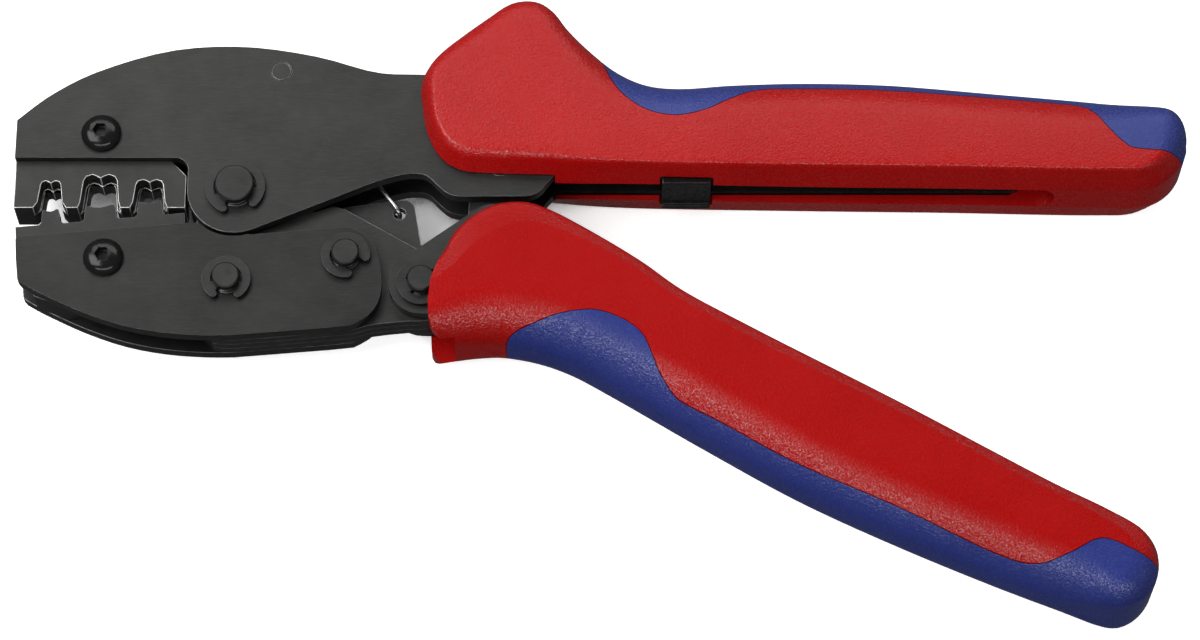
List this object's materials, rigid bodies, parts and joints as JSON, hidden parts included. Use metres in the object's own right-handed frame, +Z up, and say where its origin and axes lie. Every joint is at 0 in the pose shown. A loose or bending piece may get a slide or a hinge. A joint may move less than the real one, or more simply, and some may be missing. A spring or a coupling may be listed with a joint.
{
  "type": "ratcheting crimping pliers",
  "caption": "Ratcheting hand crimping pliers for open-barrel terminals: laminated steel jaws with W-shaped nests, a toggle lever linkage and two-tone moulded handles, handles open.",
  "frame": {"origin": "middle of the underside of the box, on the surface the tool lies on", "axes": "+X from the jaws to the handle ends, +Y towards the upper handle's outer side, +Z up through the tool's thickness"},
  "size_m": [0.222, 0.1216, 0.022],
  "materials": {
    "plate_steel": "dark burnished steel, satin",
    "pin_steel": "dark turned steel with worn rims",
    "die_steel": "black hardened steel with bright worn edges",
    "spring_steel": "bright drawn wire",
    "grip_red": "fine-grained hard plastic",
    "grip_blue": "soft matte overmould",
    "clip_black": "black moulded plastic"
  },
  "bodies": {
    "frame": {"frame_front_plate": "plate_steel", "frame_rear_plate": "plate_steel", "upper_tang_rivet_1": "pin_steel", "upper_tang_rivet_2": "pin_steel", "spring_post": "pin_steel", "toggle_anchor_pin": "pin_steel", "main_pivot_pin": "pin_steel", "main_pivot_clip": "pin_steel", "upper_die": "die_steel", "upper_die_screw": "pin_steel", "return_spring": "spring_steel", "window_clip": "clip_black", "upper_grip_shell": "grip_red", "upper_grip_insert": "grip_blue"},
    "jaw": {"jaw_front_plate": "plate_steel", "jaw_rear_plate": "plate_steel", "jaw_core_front": "plate_steel", "jaw_core_middle": "plate_steel", "jaw_core_rear": "plate_steel", "jaw_pin_left": "pin_steel", "jaw_clip_left": "pin_steel", "jaw_pin_right": "pin_steel", "jaw_clip_right": "pin_steel", "lever_pivot_pin": "pin_steel", "lever_pivot_clip": "pin_steel", "lower_die": "die_steel", "lower_die_screw": "pin_steel"},
    "lever": {"lever_front_plate": "plate_steel", "lever_rear_plate": "plate_steel", "lower_tang_rivet_1": "pin_steel", "lower_tang_rivet_2": "pin_steel", "knee_pin": "pin_steel", "pawl_pin": "pin_steel", "pawl_spring": "spring_steel", "lower_grip_shell": "grip_red", "lower_grip_insert": "grip_blue"},
    "link": {"toggle_link": "die_steel"},
    "pawl": {"ratchet_pawl": "die_steel"}
  },
  "joints": [
    {"name": "handle_close", "type": "hinge", "parent": "jaw", "child": "lever", "pos_m": [-0.0336, 0.00298, 0.011], "axis": [0, 0, 1], "range_deg": [0, 28.85], "stiffness_Nm_per_rad": 0.5, "springref_deg": -34.38},
    {"name": "jaw_close", "type": "hinge", "parent": "frame", "child": "jaw", "pos_m": [-0.069, 0.02248, 0.011], "axis": [0, 0, -1], "range_deg": [0, 5.2]},
    {"name": "link_turn", "type": "hinge", "parent": "lever", "child": "link", "pos_m": [-0.0198, 0.01158, 0.011], "axis": [0, 0, -1], "range_deg": [0, 47.92]},
    {"name": "pawl_tilt", "type": "hinge", "parent": "lever", "child": "pawl", "pos_m": [-0.00755, 0.00347, 0.011], "axis": [0, 0, 1], "range_deg": [-16, 16], "stiffness_Nm_per_rad": 0.002}
  ],
  "couplings": [
    {"joint": "jaw_close", "follows": "handle_close", "ratio": 0.18024},
    {"joint": "link_turn", "follows": "handle_close", "ratio": 1.661}
  ]
}
